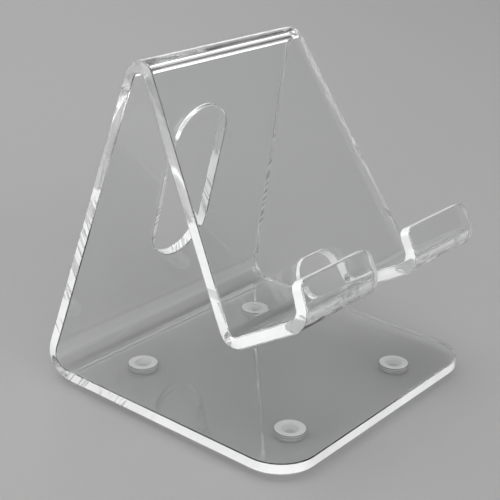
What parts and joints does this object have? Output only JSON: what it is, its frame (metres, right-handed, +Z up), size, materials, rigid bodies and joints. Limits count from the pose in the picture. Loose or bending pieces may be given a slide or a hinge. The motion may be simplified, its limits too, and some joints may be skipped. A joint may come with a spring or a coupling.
{
  "type": "phone stand",
  "caption": "Desk stand folded from one clear acrylic sheet: wide base, leaning A-frame, upturned shelf with a cable notch, slotted back and round rubber bumpers.",
  "frame": {"origin": "on the resting surface, under the middle of the stand's bounding box: the bumpers' undersides are at z = 0", "axes": "+Z up; -Y is the front, where the phone stands on the shelf; +X runs across the stand, to the right seen from the front"},
  "size_m": [0.08, 0.0786, 0.086],
  "materials": {
    "acrylic": "clear, polished faces and flame-polished cut edges",
    "bumper_rubber": "translucent light grey, satin",
    "adhesive": "translucent pale acrylic adhesive film"
  },
  "bodies": {
    "root": {"folded_sheet": "acrylic", "bumper_front_left": "bumper_rubber", "adhesive_front_left": "adhesive", "bumper_front_right": "bumper_rubber", "adhesive_front_right": "adhesive", "bumper_rear_left": "bumper_rubber", "adhesive_rear_left": "adhesive", "bumper_rear_right": "bumper_rubber", "adhesive_rear_right": "adhesive"}
  },
  "joints": []
}
